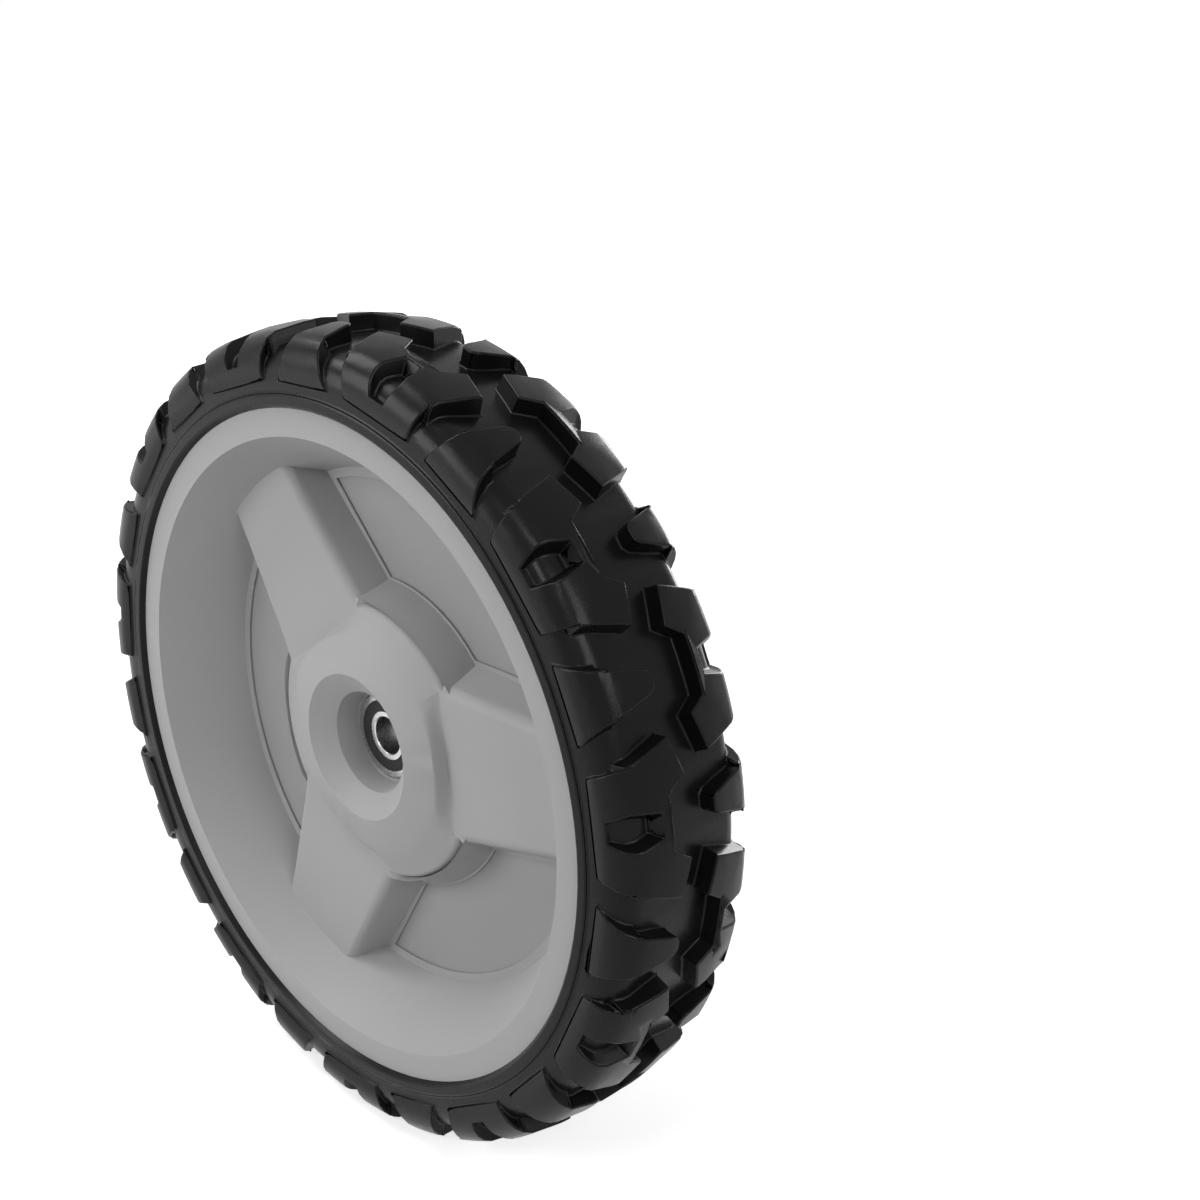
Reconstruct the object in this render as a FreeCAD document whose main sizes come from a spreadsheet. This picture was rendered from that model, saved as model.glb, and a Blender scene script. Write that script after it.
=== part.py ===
import FreeCAD, Part
import os
import re
import Sketcher

# Lawn mower wheel: rubber tyre with raised tread, moulded three-spoke rim, back plate, two ball bearings.
# Millimetres. The origin is the wheel's centre, the wheel spins about Y, and the dished face looks to -Y.

SIZES = {
    # Tyre. Depths run inward from the block tops at mid width, rises run outward from the rim's lip.
    "tread_radius": ("127.0", "block tops at mid width"),
    "tyre_height": ("26.0", "block tops down to the tyre's seat on the drum"),
    "sidewall_proud": ("1.2", "bare side beyond the face of the rim's lip"),
    "block_proud": ("1.0", "widest part of the blocks beyond the bare side"),
    "foot_proud": ("0.4", "foot of a side block beyond the bare side"),
    "crown_inset": ("14.2", "widest part in to the edge of the flat crown"),
    "crown_drop": ("0.4", "fall of the crown at its edge"),
    "shoulder_width": ("8.2", "width of the blocks' rounded shoulder"),
    "shoulder_rise": ("8.9", "height of the blocks' rounded shoulder"),
    "shoulder_inset": ("3.4", "widest part in to where a block's top meets its flank"),
    "shoulder_drop": ("2.8", "depth at which a block's flank starts to close in"),
    "wide_top_depth": ("10.2", "depth of the widest band's upper end"),
    "wide_bottom_depth": ("12.0", "depth of the widest band's lower end"),
    "block_foot_rise": ("7.2", "lip up to the foot of the side blocks"),
    "groove_depth": ("5.6", "depth of the floor between the blocks"),
    "bare_shoulder_width": ("7.0", "width of the rounded shoulder between the blocks"),
    "bare_side_rise": ("8.4", "lip up to the top of the straight bare side"),
    "bead_rise": ("4.6", "lip up to the outer edge of the raised bead ring"),
    "bead_inner_rise": ("1.0", "lip up to the inner edge of the raised bead ring"),
    "bead_step": ("0.6", "height of the bead ring above the side"),
    "pitches": ("11", "repeats of the tread round the tyre"),
    "tread_turn": ("12.6", "degrees from straight up to the first large block"),
    # Large block, seen in plan: distances across from its middle, and inward from the mid plane.
    "ear_reach": ("21.7", "half length over the two ears"),
    "ear_start": ("6.5", "outer corner of an ear, from the mid plane"),
    "ear_inner_reach": ("11.3", "half length over the ears' inner corners"),
    "ear_inner_start": ("3.2", "inner corner of an ear, from the mid plane"),
    "notch_half_length": ("7.6", "half length of the notch between the ears"),
    "notch_depth": ("9.0", "end of the notch, from the mid plane"),
    "block_half_length": ("17.4", "half length of the block at the shoulder"),
    "slot_half_length": ("6.2", "half width of the side slot at the shoulder"),
    "slot_end_half_length": ("3.6", "half width of the side slot at its blind end"),
    "slot_end": ("11.6", "blind end of the side slot, from the mid plane"),
    "slot_depth": ("10.0", "depth of the side slot's lowest point"),
    "slot_draft": ("20", "degrees of draft on the side slot's walls"),
    "block_foot_half_length": ("13.4", "half length of the block at its foot"),
    # Small block between two large ones.
    "tongue_tip_half_length": ("1.6", "half length of the small block's tip"),
    "tongue_tip": ("6.1", "tip of the small block, from the mid plane"),
    "tongue_neck_half_length": ("3.1", "half length just behind the tip"),
    "tongue_neck": ("7.6", "where the tip's bevel ends, from the mid plane"),
    "tongue_half_length": ("6.5", "half length of the small block at the shoulder"),
    "tongue_foot_half_length": ("10.9", "half length of the small block at its foot"),
    # Rim.
    "rim_half_width": ("21.5", "mid plane to the face of the lip"),
    "lip_height": ("3.4", "tyre seat up to the edge of both rim flanges"),
    "lip_thickness": ("2.5", "thickness of a rim flange"),
    "lip_width": ("8.2", "front lip's edge in to the cone"),
    "drum_thickness": ("3.0", "wall of the drum"),
    "cone_lean": ("14.5", "how far the cone runs inward from the lip to the windows"),
    "cone_thickness": ("3.0", "wall of the cone, measured along the radius"),
    "window_back": ("4.5", "mid plane back to the rear of the windows"),
    "window_flange": ("2.0", "width of the thin flange round a window"),
    "window_flange_thickness": ("1.6", "thickness of that flange"),
    "spokes": ("3", "number of spokes"),
    "spoke_turn": ("9.6", "degrees of the first spoke above the +X direction"),
    "spoke_front": ("3.8", "mid plane forward to the top of a spoke"),
    "spoke_half_width": ("27.1", "half width of a spoke's foot at the hub's radius"),
    "spoke_taper": ("6.95", "degrees by which each side of a spoke leans in"),
    "spoke_draft": ("10", "degrees of draft on the spoke's sides"),
    "spoke_round": ("4.0", "round of the spoke's upper edges"),
    "skin": ("3.0", "wall of the hollow spokes and hub"),
    "hub_front": ("13.0", "mid plane forward to the hub's face"),
    "hub_radius": ("45.3", "hub's wall run up to the plane of its face"),
    "hub_wall_lean": ("2.9", "how far the hub's wall spreads down to its foot"),
    "hub_round": ("7.5", "round of the hub's edge"),
    "hub_face_thickness": ("5.0", "thickness of the hub's face"),
    "bore_step": ("1.0", "bearing's outside out to the bore in front of it"),
    "bore_lean": ("1.25", "how far that bore opens out toward the countersink"),
    "countersink_width": ("7.05", "width of the countersink in the hub's face"),
    "countersink_depth": ("5.65", "depth of the countersink"),
    "tube_wall": ("6.5", "wall of the bearing tube"),
    "tube_mouth": ("1.2", "bevelled mouth of the tube behind the rear bearing"),
    "ribs": ("12", "ribs between the cone and the drum"),
    "rib_thickness": ("2.4", "thickness of a rib"),
    "rib_slant": ("1.5", "rib's edge behind the windows' rear at the drum, and in front of it at the cone"),
    "boss_reach": ("31.0", "axis to a screw boss"),
    "boss_radius": ("4.5", "outside of a screw boss"),
    "screw_radius": ("1.5", "screw thread and its pilot hole"),
    "screw_depth": ("9.0", "screw's length inside the boss"),
    "screw_tip_gap": ("1.0", "screw's tip to the end of its pilot hole"),
    # Back plate and its screws.
    "plate_gap": ("1.0", "window flange to the plate"),
    "plate_thickness": ("2.4", "thickness of the plate"),
    "plate_overlap": ("4.3", "plate's edge beyond the windows"),
    "plate_hoop": ("2.4", "width of the stiffening hoop"),
    "plate_hoop_height": ("3.0", "height of the stiffening hoop"),
    "plate_bore_clearance": ("0.6", "bearing tube to the plate's hole"),
    "screw_clearance": ("0.4", "screw to the plate's hole"),
    "screw_head_radius": ("3.4", "screw head"),
    "screw_head_height": ("2.2", "screw head"),
    # Ball bearings.
    "bearing_radius": ("14.0", "outside of the bearings"),
    "bearing_bore": ("6.0", "radius of the bearings' bore"),
    "bearing_width": ("8.0", "width of a bearing"),
    "front_bearing": ("-0.3", "front face of the front bearing"),
    "bearing_gap": ("6.8", "front bearing to the rear one"),
    "seat_shoulder": ("2.0", "height of the rim's shoulder between the bearings"),
    "inner_ring_wall": ("2.5", "wall of an inner ring"),
    "outer_ring_wall": ("2.8", "wall of an outer ring"),
    "ring_bevel": ("0.6", "bevel on the rings' outer edges"),
    "ball_radius": ("2.381", "bearing ball"),
    "balls": ("8", "balls in a bearing"),
    "race_clearance": ("0.05", "ball to race"),
    "pocket_clearance": ("0.08", "ball to cage"),
    "cage_clearance": ("0.6", "rings to cage"),
    "cage_side": ("0.25", "cage beside a ball's pocket"),
    "seal_thickness": ("0.5", "thickness of a seal"),
    "seal_inset": ("0.25", "bearing face to the seal"),
    "seal_clearance": ("0.2", "inner ring to the seal"),
    "spacer_wall": ("2.0", "wall of the spacer tube"),
}

# Measures that follow from the sizes, written in the names of sizes and of other measures.
MEASURES = {
    "drum_radius": "tread_radius - tyre_height",
    "lip_radius": "drum_radius + lip_height",
    "lip_inner_radius": "lip_radius - lip_width",
    "cone_slope": "cone_lean / (rim_half_width + window_back)",
    "window_radius": "lip_inner_radius - cone_lean",
    "plate_radius": "window_radius + plate_overlap",
    "plate_front": "window_back + plate_gap",
    "plate_back": "plate_front + plate_thickness",
    "side_half_width": "rim_half_width + sidewall_proud",
    "tyre_half_width": "side_half_width + block_proud",
    "shoulder_half_width": "tyre_half_width - shoulder_inset",
    "block_foot_radius": "lip_radius + block_foot_rise",
    "bare_side_radius": "lip_radius + bare_side_rise",
    "bead_radius": "lip_radius + bead_rise",
    "hub_foot_radius": "hub_radius + hub_wall_lean",
    "tube_radius": "bearing_radius + tube_wall",
    "bore_step_radius": "bearing_radius + bore_step",
    "bore_mouth_radius": "bore_step_radius + bore_lean",
    "countersink_radius": "bore_mouth_radius + countersink_width",
    "rear_bearing": "front_bearing + bearing_width + bearing_gap",
    "tube_back": "rear_bearing + bearing_width + tube_mouth",
    "inner_ring_radius": "bearing_bore + inner_ring_wall",
    "outer_ring_radius": "bearing_radius - outer_ring_wall",
    "ball_circle": "(bearing_bore + bearing_radius) / 2",
    "cage_half_width": "ball_radius + pocket_clearance + cage_side",
}

doc = FreeCAD.newDocument("lawn_mower_wheel")
sheet = doc.addObject("Spreadsheet::Sheet", "Sizes")
for row, (alias, (size, note)) in enumerate(SIZES.items(), start=1):
    sheet.set(f"A{row}", note)
    sheet.set(f"B{row}", size)
    sheet.setAlias(f"B{row}", alias)
doc.recompute()

SIZE_NAME = re.compile(r"\b(" + "|".join(SIZES) + r")\b")
MEASURE_NAME = re.compile(r"\b(" + "|".join(MEASURES) + r")\b")
WHEEL_AXIS = FreeCAD.Vector(0, 1, 0)
# Rough pads and cuts run this far past the finished shape, where it leaves no mark.
OVERRUN = "10"
# A rounded shoulder is drawn through points at these degrees round it, from the side up.
SHOULDER_STEPS = (90, 72, 54, 36, 18)
# A block's flank starts this far inside its top, so that the two grow into one.
FLANK_LAP = "2"
# Edges closer to a plane than this lie in it.
TOUCH = 0.01


def spelled_out(formula):
    """A formula with its measures written out in the sheet's names."""
    return MEASURE_NAME.sub(lambda name: f"({spelled_out(MEASURES[name.group()])})", formula)


def size(formula):
    """The number that a formula comes to."""
    return float(sheet.evalExpression(spelled_out(formula)))


def bind(target, prop, formula):
    """Drive a property from the sheet."""
    target.setExpression(prop, SIZE_NAME.sub(r"Sizes.\1", spelled_out(formula)))


def origin_part(body, role):
    """One of the body's own planes or axes."""
    return next(feature for feature in body.Origin.OriginFeatures if feature.Role == role)


def mirrored(half):
    """A whole outline from its half with positive first coordinates, walked from one end to the other."""
    return half + [(f"-({across})", along) for across, along in reversed(half)]


def new_sketch(body, name, role, lift="0", turn="0", turn_axis=FreeCAD.Vector(0, 0, 1)):
    """A sketch on one of the body's planes, turned about an axis and then lifted off along its own normal."""
    sketch = body.newObject("Sketcher::SketchObject", name)
    sketch.AttachmentSupport = [(origin_part(body, role), "")]
    sketch.MapMode = "FlatFace"
    rotation = FreeCAD.Rotation(turn_axis, size(turn))
    sketch.AttachmentOffset = FreeCAD.Placement(FreeCAD.Vector(0, 0, 0), rotation)
    bind(sketch, "AttachmentOffset.Rotation.Angle", turn)
    if turn_axis.y:
        bind(sketch, "AttachmentOffset.Base.x", f"({lift}) * sin({turn})")
        bind(sketch, "AttachmentOffset.Base.z", f"({lift}) * cos({turn})")
    else:
        bind(sketch, "AttachmentOffset.Base.z", lift)
    return sketch


def add_outline(sketch, corners):
    """A closed run of straight lines, each corner a pair of formulas held by two dimensions."""
    points = [FreeCAD.Vector(size(across), size(along), 0) for across, along in corners]
    count = len(points)
    first = sketch.GeometryCount
    for i in range(count):
        sketch.addGeometry(Part.LineSegment(points[i], points[(i + 1) % count]), False)
    for i in range(count):
        sketch.addConstraint(Sketcher.Constraint("Coincident", first + i, 2, first + (i + 1) % count, 1))
    for i, corner in enumerate(corners):
        for kind, formula in zip(("DistanceX", "DistanceY"), corner):
            rule = Sketcher.Constraint(kind, -1, 1, first + i, 1, size(formula))
            bind(sketch, f"Constraints[{sketch.addConstraint(rule)}]", formula)


def add_circle(sketch, across, along, radius):
    """A circle held by its centre and radius."""
    centre = FreeCAD.Vector(size(across), size(along), 0)
    index = sketch.addGeometry(Part.Circle(centre, FreeCAD.Vector(0, 0, 1), size(radius)), False)
    rules = (
        (Sketcher.Constraint("DistanceX", -1, 1, index, 3, centre.x), across),
        (Sketcher.Constraint("DistanceY", -1, 1, index, 3, centre.y), along),
        (Sketcher.Constraint("Radius", index, size(radius)), radius),
    )
    for rule, formula in rules:
        bind(sketch, f"Constraints[{sketch.addConstraint(rule)}]", formula)


def finish(body, feature):
    """Make a feature the body's tip and bring it up to date."""
    body.Tip = feature
    doc.recompute()
    return feature


def turned(body, sketch, name, cut=False):
    """Revolve a sketch of radius and depth about the wheel's axis, adding or cutting."""
    feature = body.newObject("PartDesign::Groove" if cut else "PartDesign::Revolution", name)
    feature.Profile = sketch
    feature.ReferenceAxis = (sketch, ["V_Axis"])
    feature.Angle = 360.0
    return finish(body, feature)


def raised(body, sketch, name, length, draft="0", reverse=False, both_ways=False):
    """Pad a sketch along its normal."""
    pad = body.newObject("PartDesign::Pad", name)
    pad.Profile = sketch
    bind(pad, "Length", length)
    if draft != "0":
        bind(pad, "TaperAngle", f"-({draft})")
    pad.Reversed = reverse
    if both_ways:
        pad.SideType = "Symmetric"
    return finish(body, pad)


def sunk(body, sketch, name, length, draft="0", reverse=False):
    """Pocket a sketch against its normal, or along it."""
    pocket = body.newObject("PartDesign::Pocket", name)
    pocket.Profile = sketch
    bind(pocket, "Length", length)
    if draft != "0":
        bind(pocket, "TaperAngle", f"-({draft})")
    pocket.Reversed = reverse
    return finish(body, pocket)


def repeated(body, originals, name, count):
    """Repeat features evenly round the wheel's axis."""
    pattern = body.newObject("PartDesign::PolarPattern", name)
    pattern.Originals = originals
    pattern.Axis = (origin_part(body, "Y_Axis"), [""])
    pattern.Angle = 360.0
    bind(pattern, "Occurrences", count)
    return finish(body, pattern)


def turned_body(label, corners):
    """A body that starts as one outline of radius and depth revolved about the axis."""
    body = doc.addObject("PartDesign::Body", label)
    sketch = new_sketch(body, f"{label}_section", "XY_Plane")
    add_outline(sketch, corners)
    turned(body, sketch, f"{label}_turned")
    return body


def turn_about_axle(target, formula):
    """Set a whole sub-part's angle about the wheel's axis."""
    target.Placement = FreeCAD.Placement(FreeCAD.Vector(0, 0, 0), FreeCAD.Rotation(WHEEL_AXIS, size(formula)))
    bind(target, "Placement.Rotation.Angle", formula)


def both_sides(half, middle=()):
    """A whole section from its front half, listed from the bead up as (radius, half width), and its mid points."""
    front = [(radius, f"-({depth})") for radius, depth in half]
    return front + list(middle) + [(radius, depth) for radius, depth in reversed(half)]


def rounded_shoulder(foot, rise, outside, width):
    """Points of a quarter ellipse that turns from a side of the tyre in over its crown."""
    return [
        (f"{foot} + ({rise}) * cos({step})", f"{outside} - {width} * (1 - sin({step}))")
        for step in SHOULDER_STEPS
    ]


def make_tyre():
    """Carcass, tread blocks and slots repeated round it, the slots' floors, then one cut that rounds every block."""
    seat = [
        ("drum_radius", "rim_half_width - lip_thickness"),
        ("lip_radius", "rim_half_width - lip_thickness"),
        ("lip_radius", "rim_half_width"),
    ]
    bare_side = [
        ("lip_radius + bead_inner_rise", "side_half_width + bead_step"),
        ("bead_radius - bead_step", "side_half_width + bead_step"),
        ("bead_radius", "side_half_width"),
    ]
    floor = "tread_radius - groove_depth"
    shoulder = rounded_shoulder(
        "bare_side_radius", f"{floor} - bare_side_radius", "side_half_width", "bare_shoulder_width")
    crown = [(floor, "side_half_width - bare_shoulder_width")]
    tyre = turned_body("tyre", both_sides(seat + bare_side + shoulder + crown))
    half_pitch = "180 / pitches"
    blocks = add_large_block(tyre, "front", -1, "0") + add_large_block(tyre, "rear", 1, half_pitch)
    blocks += add_small_block(tyre, "front", -1, half_pitch) + add_small_block(tyre, "rear", 1, "0")
    repeated(tyre, blocks, "tread_blocks", "pitches")
    slots = [add_slot(tyre, "front", -1, "0"), add_slot(tyre, "rear", 1, half_pitch)]
    repeated(tyre, slots, "tread_slots", "pitches")
    turned(tyre, doc.getObject("tyre_section"), "slot_floors")
    trim_tread(tyre)
    turn_about_axle(tyre, "tread_turn")
    return tyre


def add_block(tyre, name, side, turn, plan, flank):
    """One tread block: a plan outline raised off the carcass, and a flank outline raised off the sidewall."""
    toward = "-" if side < 0 else ""
    plan_sketch = new_sketch(tyre, f"{name}_plan", "XY_Plane", "bare_side_radius", turn, WHEEL_AXIS)
    add_outline(plan_sketch, [(across, f"{toward}({depth})") for across, depth in plan])
    top = raised(tyre, plan_sketch, f"{name}_top", f"tread_radius - bare_side_radius + {OVERRUN}")
    inside = f"shoulder_half_width - {FLANK_LAP}"
    lift = inside if side < 0 else f"-({inside})"
    flank_sketch = new_sketch(tyre, f"{name}_flank", "XZ_Plane", lift, f"-({turn})")
    add_outline(flank_sketch, flank)
    wing = raised(tyre, flank_sketch, f"{name}_wing", OVERRUN, reverse=side > 0)
    return [top, wing]


def add_large_block(tyre, label, side, turn):
    """The two-eared block with a notch at the crown."""
    plan = mirrored([
        ("notch_half_length", "notch_depth"),
        ("ear_inner_reach", "ear_inner_start"),
        ("ear_reach", "ear_start"),
        ("block_half_length", "shoulder_half_width"),
    ])
    flank = mirrored([
        ("block_foot_half_length", "block_foot_radius"),
        ("block_half_length", "tread_radius - shoulder_drop"),
        ("block_half_length", f"tread_radius + {OVERRUN}"),
    ])
    return add_block(tyre, f"{label}_large", side, turn, plan, flank)


def add_small_block(tyre, label, side, turn):
    """The tongue between two large blocks, widening down the sidewall."""
    plan = mirrored([
        ("tongue_tip_half_length", "tongue_tip"),
        ("tongue_neck_half_length", "tongue_neck"),
        ("tongue_half_length", "shoulder_half_width"),
    ])
    flank = mirrored([
        ("tongue_foot_half_length", "block_foot_radius"),
        ("tongue_half_length", "tread_radius - shoulder_drop"),
        ("tongue_half_length", f"tread_radius + {OVERRUN}"),
    ])
    return add_block(tyre, f"{label}_small", side, turn, plan, flank)


def add_slot(tyre, label, side, turn):
    """The slot with sloping walls that runs into each large block from the side."""
    toward = "-" if side < 0 else ""
    plan = mirrored([
        ("slot_end_half_length", "slot_end"),
        ("slot_half_length", "shoulder_half_width"),
        ("slot_half_length", f"tyre_half_width + {OVERRUN}"),
    ])
    sketch = new_sketch(tyre, f"{label}_slot_plan", "XY_Plane", "tread_radius", turn, WHEEL_AXIS)
    add_outline(sketch, [(across, f"{toward}({depth})") for across, depth in plan])
    return sunk(tyre, sketch, f"{label}_slot", "slot_depth", "slot_draft")


def trim_tread(tyre):
    """Cut every block back to the round-shouldered envelope of the tread."""
    half = [
        ("bead_radius", "side_half_width + foot_proud"),
        ("block_foot_radius", "side_half_width + foot_proud"),
        ("tread_radius - wide_bottom_depth", "tyre_half_width"),
    ]
    half += rounded_shoulder("tread_radius - wide_top_depth", "shoulder_rise", "tyre_half_width", "shoulder_width")
    half += [("tread_radius - crown_drop", "tyre_half_width - crown_inset")]
    outside = f"tread_radius + 2 * {OVERRUN}"
    beside = f"tyre_half_width + {OVERRUN}"
    corners = both_sides(half, [("tread_radius", "0")]) + [
        ("bead_radius", beside),
        (outside, beside),
        (outside, f"-({beside})"),
        ("bead_radius", f"-({beside})"),
    ]
    sketch = new_sketch(tyre, "tread_envelope", "XY_Plane")
    add_outline(sketch, corners)
    turned(tyre, sketch, "tread_trim", cut=True)


def cone_at(depth, outward="0"):
    """Radius of the cone's visible face at a depth, moved outward into its wall."""
    return f"window_radius + ({outward}) + (window_back - ({depth})) * cone_slope"


def spoke_side(reach):
    """Half width of a spoke's foot at a distance from the axis."""
    return f"spoke_half_width - (({reach}) - hub_radius) * tan(spoke_taper)"


def spoke_outline(inner, outer, wider):
    """A spoke's tapering plan, lying along the first sketch axis, with its sides moved out."""
    inner_half = f"{spoke_side(inner)} + ({wider})"
    outer_half = f"{spoke_side(outer)} + ({wider})"
    return [
        (inner, f"-({inner_half})"),
        (outer, f"-({outer_half})"),
        (outer, outer_half),
        (inner, inner_half),
    ]


def rounded(body, name, radius, wanted):
    """Round the edges of the body's tip that a test picks."""
    tip = body.Tip
    picked = [f"Edge{i}" for i, edge in enumerate(tip.Shape.Edges, start=1) if wanted(edge)]
    fillet = body.newObject("PartDesign::Fillet", name)
    fillet.Base = (tip, picked)
    bind(fillet, "Radius", radius)
    return finish(body, fillet)


def lies_at_depth(edge, depth):
    """Whether a whole edge lies in the plane at this depth."""
    box = edge.BoundBox
    return abs(box.YMin - depth) < TOUCH and abs(box.YMax - depth) < TOUCH


def make_rim():
    """Hub, hollow spokes, lip with cone and drum, ribs behind the cone, and bosses for the plate's screws."""
    rim = turned_body("rim", [
        ("countersink_radius", "-hub_front"),
        ("hub_radius", "-hub_front"),
        ("hub_foot_radius", "window_back - window_flange_thickness"),
        ("hub_foot_radius + window_flange", "window_back - window_flange_thickness"),
        ("hub_foot_radius + window_flange", "window_back"),
        ("tube_radius", "window_back"),
        ("tube_radius", "tube_back"),
        ("bearing_radius + tube_mouth", "tube_back"),
        ("bearing_radius", "tube_back - tube_mouth"),
        ("bearing_radius", "rear_bearing"),
        ("bearing_radius - seat_shoulder", "rear_bearing"),
        ("bearing_radius - seat_shoulder", "front_bearing + bearing_width"),
        ("bearing_radius", "front_bearing + bearing_width"),
        ("bearing_radius", "front_bearing"),
        ("bore_step_radius", "front_bearing"),
        ("bore_mouth_radius", "countersink_depth - hub_front"),
    ])
    face = -size("hub_front")
    rounded(rim, "hub_edge", "hub_round",
            lambda edge: lies_at_depth(edge, face) and edge.BoundBox.XMax > size("hub_radius") - TOUCH)
    add_spokes(rim)
    add_rim_ring(rim)
    hollow_hub(rim)
    add_ribs(rim)
    add_bosses(rim)
    turn_about_axle(rim, "-spoke_turn")
    return rim


def add_spokes(rim):
    """Drafted spokes with a thin flange round their feet, cut off inside the cone's wall."""
    rough_end = f"{cone_at('-spoke_front')} + 2 * cone_thickness"
    plan = new_sketch(rim, "spoke_plan", "XZ_Plane", "-window_back")
    add_outline(plan, spoke_outline("tube_radius", rough_end, "0"))
    spoke = raised(rim, plan, "spoke", "window_back + spoke_front", "spoke_draft")
    foot = new_sketch(rim, "spoke_foot_plan", "XZ_Plane", "-window_back")
    add_outline(foot, spoke_outline("tube_radius", rough_end, "window_flange"))
    flange = raised(rim, foot, "spoke_flange", "window_flange_thickness")
    repeated(rim, [spoke, flange], "spoke_ring", "spokes")
    top = -size("spoke_front")
    shortest = size("hub_radius") / 2
    rounded(rim, "spoke_edges", "spoke_round",
            lambda edge: lies_at_depth(edge, top) and edge.Curve.TypeId == "Part::GeomLine"
            and edge.Length > shortest and edge.CenterOfMass.Length < size("window_radius"))
    wall = "cone_thickness / 2"
    front = f"-spoke_front - {OVERRUN}"
    back = f"window_back + {OVERRUN}"
    trim = new_sketch(rim, "spoke_end_section", "XY_Plane")
    add_outline(trim, [
        (cone_at(back, wall), back),
        (cone_at(front, wall), front),
        ("lip_radius", front),
        ("lip_radius", back),
    ])
    turned(rim, trim, "spoke_ends", cut=True)


def add_rim_ring(rim):
    """Lip, cone with its window flange, drum and rear flange in one section."""
    flange_depth = "window_back - window_flange_thickness"
    seat = "rim_half_width - lip_thickness"
    drum_inner = "drum_radius - drum_thickness"
    meeting = f"window_back - ({drum_inner} - window_radius - cone_thickness) / cone_slope"
    ring = new_sketch(rim, "rim_ring_section", "XY_Plane")
    add_outline(ring, [
        ("lip_inner_radius", "-rim_half_width"),
        ("lip_radius", "-rim_half_width"),
        ("lip_radius", f"-({seat})"),
        ("drum_radius", f"-({seat})"),
        ("drum_radius", seat),
        ("lip_radius", seat),
        ("lip_radius", "rim_half_width"),
        (drum_inner, "rim_half_width"),
        (drum_inner, meeting),
        ("window_radius + cone_thickness", "window_back"),
        ("window_radius - window_flange", "window_back"),
        ("window_radius - window_flange", flange_depth),
        (cone_at(flange_depth), flange_depth),
    ])
    turned(rim, ring, "rim_ring")


def hollow_hub(rim):
    """Cut the hub's ring-shaped hollow and a hollow in each spoke, all from behind."""
    behind = f"window_back + {OVERRUN}"
    cavity_front = "hub_face_thickness - hub_front"
    cavity = new_sketch(rim, "hub_cavity_section", "XY_Plane")
    add_outline(cavity, [
        ("tube_radius", cavity_front),
        ("hub_radius - hub_round * (1 - sin(45)) - skin", cavity_front),
        ("hub_foot_radius - skin", "window_back"),
        ("hub_foot_radius - skin", behind),
        ("tube_radius", behind),
    ])
    turned(rim, cavity, "hub_cavity", cut=True)
    inner = "hub_foot_radius + skin"
    outer = "window_radius - skin"
    plan = new_sketch(rim, "spoke_cavity_plan", "XZ_Plane", "-window_back")
    inset = "-skin - (window_back + spoke_front) * tan(spoke_draft)"
    add_outline(plan, spoke_outline(inner, outer, inset))
    pocket = sunk(rim, plan, "spoke_cavity", "window_back + spoke_front - skin", reverse=True)
    repeated(rim, [pocket], "spoke_cavities", "spokes")


def add_ribs(rim):
    """Radial ribs that tie the back of the cone to the drum."""
    lip_back = "lip_thickness - rim_half_width"
    cone_end = "window_back - rib_slant"
    in_drum = "drum_radius - drum_thickness / 2"
    section = new_sketch(rim, "rib_section", "XY_Plane")
    add_outline(section, [
        (cone_at(lip_back, "cone_thickness / 2"), lip_back),
        (in_drum, lip_back),
        (in_drum, "window_back + rib_slant"),
        (cone_at(cone_end, "cone_thickness / 2"), cone_end),
    ])
    rib = raised(rim, section, "rib", "rib_thickness", both_ways=True)
    repeated(rim, [rib], "rib_ring", "ribs")


def add_bosses(rim):
    """Bosses inside the hub that the back plate's screws bite into."""
    plan = new_sketch(rim, "boss_plan", "XZ_Plane", "-(plate_front)")
    add_circle(plan, "boss_reach", "0", "boss_radius")
    reach = "plate_front + hub_front - hub_face_thickness / 2"
    boss = raised(rim, plan, "boss", reach)
    hole = new_sketch(rim, "pilot_plan", "XZ_Plane", "-(plate_front)")
    add_circle(hole, "boss_reach", "0", "screw_radius")
    pilot = sunk(rim, hole, "pilot", "screw_depth + screw_tip_gap", reverse=True)
    repeated(rim, [boss, pilot], "boss_ring", "spokes")


def make_back_plate():
    """The disc that closes the windows, with a hoop at its edge and three screw holes."""
    bore = "tube_radius + plate_bore_clearance"
    hoop_back = "plate_back + plate_hoop_height"
    plate = turned_body("back_plate", [
        (bore, "plate_front"),
        ("plate_radius", "plate_front"),
        ("plate_radius", hoop_back),
        ("plate_radius - plate_hoop", hoop_back),
        ("plate_radius - plate_hoop", "plate_back"),
        (bore, "plate_back"),
    ])
    plan = new_sketch(plate, "plate_hole_plan", "XZ_Plane", "-(plate_front)")
    add_circle(plan, "boss_reach", "0", "screw_radius + screw_clearance")
    hole = sunk(plate, plan, "plate_hole", "plate_thickness")
    repeated(plate, [hole], "plate_holes", "spokes")
    turn_about_axle(plate, "-spoke_turn")
    return plate


def cylinder(name, radius, start, length, across="0", up="0"):
    """A cylinder along the wheel's axis from a depth, its own axis moved across and up."""
    item = doc.addObject("Part::Cylinder", name)
    along_y = FreeCAD.Rotation(FreeCAD.Vector(1, 0, 0), -90)
    item.Placement = FreeCAD.Placement(FreeCAD.Vector(0, 0, 0), along_y)
    bind(item, "Radius", radius)
    bind(item, "Height", length)
    bind(item, "Placement.Base.x", across)
    bind(item, "Placement.Base.y", start)
    bind(item, "Placement.Base.z", up)
    return item


def tube(name, inner, outer, start, length):
    """A plain ring about the wheel's axis."""
    ring = doc.addObject("Part::Cut", name)
    ring.Base = cylinder(f"{name}_outside", outer, start, length)
    ring.Tool = cylinder(f"{name}_inside", inner, start, length)
    return ring


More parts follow.
